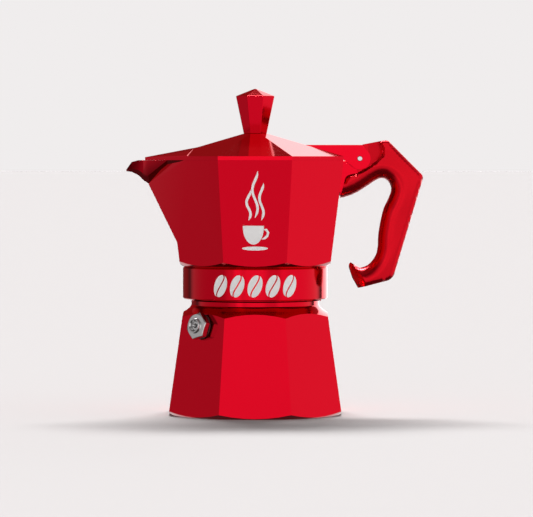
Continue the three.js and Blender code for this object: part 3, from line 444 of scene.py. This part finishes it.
handle_piece = smooth_with_creases(object_from(handle(), "handle_grip"))
settle(handle_piece, "collector", "red_handle", ["handle"])
print("handle:", len(handle_piece.data.polygons), "faces")

# %% [markdown]
# ## The bracket's web
#
# The hinge bracket is cast in one with the chamber. Between its two cheeks a thin web
# runs down the wall, so that no light shows through under the hinge. It is a flat
# outline, extruded to its thickness, with its edges rounded.

# %% Build the web
WEB_HALF = 2.4
WEB_OUTLINE = [(42.6, 110.5), (45.3, 111.5), (46.5, 117.5), (49.6, 121.0),
               (50.8, 124.6), (50.2, 128.3), (43.6, 128.3)]


def web():
    shape = bmesh.new()
    side = shape.faces.new([shape.verts.new((x, -WEB_HALF, z)) for x, z in WEB_OUTLINE])
    far = bmesh.ops.extrude_face_region(shape, geom=[side], use_keep_orig=True)["geom"]
    moved = [v for v in far if isinstance(v, bmesh.types.BMVert)]
    bmesh.ops.translate(shape, vec=(0, 2 * WEB_HALF, 0), verts=moved)
    bmesh.ops.recalc_face_normals(shape, faces=shape.faces)
    bmesh.ops.scale(shape, vec=(MM, MM, MM), verts=shape.verts)
    return shape


web_piece = round_edges(object_from(web(), "bracket_web"), 0.4)
settle(web_piece, "collector", "red_metal", [])
print("web:", len(WEB_OUTLINE), "corners")

# %% [markdown]
# ## The printed marks
#
# White marks are printed on the front facet and round the collar. Here they are plain
# pictures: a steaming cup and a row of coffee beans. Each mark starts as flat faces; the
# beans are cut into narrow strips so that they can bend round the collar. Each mark gets a
# hair's thickness, and is laid on the surface by one function that says where each point
# of the print belongs.

# %% A helper for a printed mark
print_white = finish("white_print", (0.88, 0.88, 0.87), 0.0, 0.35, 0.05, 0.1)
PRINT_THICKNESS = 0.12
PRINT_GAP = 0.02  # keeps the print's underside clear of the lacquer


def printed(name, outlines, place, strip=None):
    """A print from flat outlines; strip is how wide the bending strips are."""
    shape = bmesh.new()
    for outline in outlines:
        shape.faces.new([shape.verts.new((x, y, 0)) for x, y in outline])
    reach = max(abs(v.co.x) for v in shape.verts)
    for step in range(int(2 * reach / strip) if strip else 0):
        everything = [*shape.verts, *shape.edges, *shape.faces]
        bmesh.ops.bisect_plane(
            shape, geom=everything, dist=1e-5, plane_co=(step * strip - reach, 0, 0),
            plane_no=(1, 0, 0))
    faces = list(shape.faces)
    raised = bmesh.ops.extrude_face_region(shape, geom=faces, use_keep_orig=True)["geom"]
    lifted = [v for v in raised if isinstance(v, bmesh.types.BMVert)]
    bmesh.ops.translate(shape, vec=(0, 0, PRINT_THICKNESS), verts=lifted)
    for vert in shape.verts:
        vert.co = Vector(place(*vert.co)) * MM
    bmesh.ops.recalc_face_normals(shape, faces=shape.faces)
    piece = object_from(shape, name)
    return settle(piece, "collector", "red_metal", [], print_white)


def ribbon(centre, width):
    """A band of even width along a list of points, with rounded ends."""
    left, right = [], []
    for index, (x, y) in enumerate(centre):
        before = Vector(centre[max(0, index - 1)])
        after = Vector(centre[min(len(centre) - 1, index + 1)])
        across = (after - before).normalized().orthogonal() * width / 2
        taper = math.sin(math.pi * min(0.5, 0.06 + 3.0 * min(index, len(centre) - 1 - index)
                                       / len(centre)))
        left.append((x + across.x * taper, y + across.y * taper))
        right.append((x - across.x * taper, y - across.y * taper))
    return left + right[::-1]


def oval(cx, cy, rx, ry, start=0, end=360, steps=40):
    turns = [math.radians(start + (end - start) * i / steps) for i in range(steps + 1)]
    if end - start >= 360:
        turns.pop()
    return [(cx + rx * math.cos(t), cy + ry * math.sin(t)) for t in turns]


# %% The steaming cup
FACET_FOOT = Vector((0, -37.7, 74.6))
FACET_TOP = Vector((0, -44.4, 128.7))
PRINT_RISE = 2.4
STEAM_WIDTH, STEAM_WAVES, STEAM_STEPS = 1.25, 1.25, 28
facet_up = (FACET_TOP - FACET_FOOT).normalized()
facet_out = Vector((0, -facet_up.z, facet_up.y))


def on_facet(x, y, lift):
    across = FACET_FOOT + Vector((x, 0, 0))
    return across + facet_up * (y + PRINT_RISE) + facet_out * (lift + PRINT_GAP)


def steam(x, foot, top, sway):
    shares = [i / STEAM_STEPS for i in range(STEAM_STEPS + 1)]
    return ribbon([
        (x + sway * math.sin(2 * math.pi * STEAM_WAVES * share), foot + (top - foot) * share)
        for share in shares], STEAM_WIDTH)


cup = [
    oval(0, 8.0, 6.4, 1.0),
    [*oval(-0.8, 18.6, 5.2, 8.6, 180, 360), (4.4, 19.4), (-6.0, 19.4)],
    ribbon([(4.0, 17.6), (5.6, 17.4), (6.5, 16.0), (6.1, 14.4), (4.9, 13.2), (3.2, 12.6)], 1.2),
    steam(-3.2, 22.2, 37.0, 1.0), steam(0.0, 23.4, 46.6, 1.3), steam(3.2, 22.2, 40.6, 1.0),
]
printed("print_cup", cup, on_facet)
print("cup print:", len(cup), "shapes")

# %% The row of beans
COLLAR_RADIUS = 36.7
COLLAR_MIDDLE_Z = 66.0
BEAN_COUNT, BEAN_PITCH, BEAN_TILT = 5, 9.0, math.radians(18)
BEAN_HALF_LENGTH, BEAN_HALF_WIDTH = 5.6, 3.1
SLIT_HALF, SLIT_WAVE = 0.35, 0.75


def half_bean(side, steps=24):
    """Half of an oval bean, up to the wavy slit down its middle."""
    curve = [math.pi * i / steps for i in range(steps + 1)]
    back = [(side * (SLIT_HALF + BEAN_HALF_WIDTH * math.sin(t)), BEAN_HALF_LENGTH * math.cos(t))
            for t in curve]
    slit = [(side * SLIT_HALF + SLIT_WAVE * math.sin(2 * t), BEAN_HALF_LENGTH * math.cos(t))
            for t in curve]
    return back + slit[-2:0:-1]


def bean_at(offset):
    turned = []
    for side in (-1, 1):
        turned.append([
            (offset + x * math.cos(BEAN_TILT) + y * math.sin(BEAN_TILT),
             COLLAR_MIDDLE_Z + y * math.cos(BEAN_TILT) - x * math.sin(BEAN_TILT))
            for x, y in half_bean(side)])
    return turned


def on_collar(x, z, lift):
    turn, radius = x / COLLAR_RADIUS, COLLAR_RADIUS + PRINT_GAP + lift
    return radius * math.sin(turn), -radius * math.cos(turn), z


beans = []
for place_in_row in range(BEAN_COUNT):
    beans += bean_at((place_in_row - (BEAN_COUNT - 1) / 2) * BEAN_PITCH)
printed("print_beans", beans, on_collar, 1.0)
print("bean print:", BEAN_COUNT, "beans")

# %% [markdown]
# ## The floor and the studio
#
# The pot stands on seamless pale paper. All the light comes from one soft surround, so
# the paper is evenly lit and only a soft contact shadow is left. The surround is drawn
# as a few glowing panels in a dim room: a tall white one at the right and behind it, a
# dimmer one at the left, broad ones in front and a strong narrow one high behind. A dark
# card hides the room behind the pot at the left, and a dim red panel glows in front of
# it. The polished facets mirror all of these, so each panel's place and level was chosen
# for the facet that mirrors it. The camera sees a plain backdrop in place of the panels.

# %% The floor
bpy.ops.mesh.primitive_plane_add(size=60.0)
floor = bpy.context.active_object
floor.name = "floor"
paper = finish("pale_paper", (0.457, 0.451, 0.451), 0.0, 0.9, 0.02)
shader_of(paper).inputs["Specular IOR Level"].default_value = 0.0
floor.data.materials.append(paper)
floor.visible_glossy = False

# %% A helper for a glowing panel in the surround
world = bpy.data.worlds.new("studio")
bpy.context.scene.world = world
world.use_nodes = True
nodes, links = world.node_tree.nodes, world.node_tree.links
nodes.clear()
place = nodes.new("ShaderNodeTexCoord")


def calculation(operation, first, second):
    """One maths node; each input is a number or another node's output."""
    made = nodes.new("ShaderNodeMath")
    made.operation = operation
    for socket, value in zip(made.inputs, (first, second)):
        if isinstance(value, (int, float)):
            socket.default_value = value
        else:
            links.new(value, socket)
    return made.outputs[0]


def along(direction):
    made = nodes.new("ShaderNodeVectorMath")
    made.operation = "DOT_PRODUCT"
    links.new(place.outputs["Generated"], made.inputs[0])
    made.inputs[1].default_value = direction
    return made.outputs["Value"]


def soft_step(value, near, far):
    made = nodes.new("ShaderNodeMapRange")
    made.interpolation_type = "SMOOTHSTEP"
    links.new(value, made.inputs["Value"])
    made.inputs["From Min"].default_value = near
    made.inputs["From Max"].default_value = far
    made.inputs["To Min"].default_value = 1.0
    made.inputs["To Max"].default_value = 0.0
    return made.outputs["Result"]


def panel(turn, lift, half_width, half_height, edge, level):
    """A glowing panel; turn is degrees to the right of straight behind the pot."""
    turn, lift = math.radians(turn), math.radians(lift)
    level_reach = math.cos(lift)
    ahead = Vector((math.sin(turn) * level_reach, math.cos(turn) * level_reach, math.sin(lift)))
    side = Vector((math.cos(turn), -math.sin(turn), 0.0))
    up = side.cross(ahead)
    depth = calculation("MAXIMUM", along(ahead), 0.001)
    across = calculation("ABSOLUTE", calculation("DIVIDE", along(side), depth), 0.0)
    high = calculation("ABSOLUTE", calculation("DIVIDE", along(up), depth), 0.0)
    spread = [math.tan(math.radians(half)) for half in (half_width, half_height)]
    inside = calculation(
        "MULTIPLY", soft_step(across, spread[0] * (1 - edge), spread[0] * (1 + edge)),
        soft_step(high, spread[1] * (1 - edge), spread[1] * (1 + edge)))
    return calculation("MULTIPLY", inside, level)


# %% The panels
ROOM_LEVEL = 0.09
BEHIND_LEFT = (-23, 24, 25, 27, 0.3)
PANELS = [
    panel(25, 10, 22, 22, 0.06, 1.8),
    panel(98, 4, 40, 42, 0.3, 1.0),
    panel(180, -6, 44, 26, 0.35, 0.78),
    panel(180, 22, 44, 12, 0.5, 0.36),
    panel(180, 1.5, 18, 4, 0.4, 0.5),
    panel(-152, -4, 6, 30, 0.6, 0.4),
    panel(-98, 0, 40, 38, 0.3, 0.44),
    panel(8, -24, 34, 14, 0.3, 0.6),
    panel(0, 57, 22, 6.5, 0.05, 33.0),
    panel(0, 90, 40, 40, 0.3, 0.2),
    panel(*BEHIND_LEFT, -0.08),  # the dark card: it takes most of the room's light away
]
glow = ROOM_LEVEL
for each in PANELS:
    glow = calculation("ADD", each, glow)
surround = nodes.new("ShaderNodeBackground")
surround.inputs["Color"].default_value = (1.0, 0.985, 0.985, 1.0)
links.new(glow, surround.inputs["Strength"])
backdrop = nodes.new("ShaderNodeBackground")
backdrop.inputs["Color"].default_value = (0.871, 0.847, 0.847, 1.0)
seen = nodes.new("ShaderNodeLightPath")
mix = nodes.new("ShaderNodeMixShader")
output = nodes.new("ShaderNodeOutputWorld")
links.new(seen.outputs["Is Camera Ray"], mix.inputs["Fac"])
warm = nodes.new("ShaderNodeBackground")
warm.inputs["Color"].default_value = (1.0, 0.0, 0.01, 1.0)
links.new(panel(*BEHIND_LEFT, 0.29), warm.inputs["Strength"])
both = nodes.new("ShaderNodeAddShader")
links.new(surround.outputs["Background"], both.inputs[0])
links.new(warm.outputs["Background"], both.inputs[1])
links.new(both.outputs["Shader"], mix.inputs[1])
links.new(backdrop.outputs["Background"], mix.inputs[2])
links.new(mix.outputs["Shader"], output.inputs["Surface"])
bpy.context.scene.view_settings.view_transform = "Standard"
print("panels:", len(PANELS) - 1, "white, 1 dark, 1 red")

# %% The camera
camera = bpy.data.objects.new("camera", bpy.data.cameras.new("camera"))
bpy.context.scene.collection.objects.link(camera)
bpy.context.scene.camera = camera
camera.data.sensor_width = 36.0
camera.data.lens = 231.6
MIDDLE_X = 0.0057
camera.location = (MIDDLE_X, -1.74, 0.1302)
aim = Vector((MIDDLE_X, 0.0, 0.0788))
camera.rotation_euler = (aim - camera.location).to_track_quat("-Z", "Y").to_euler()
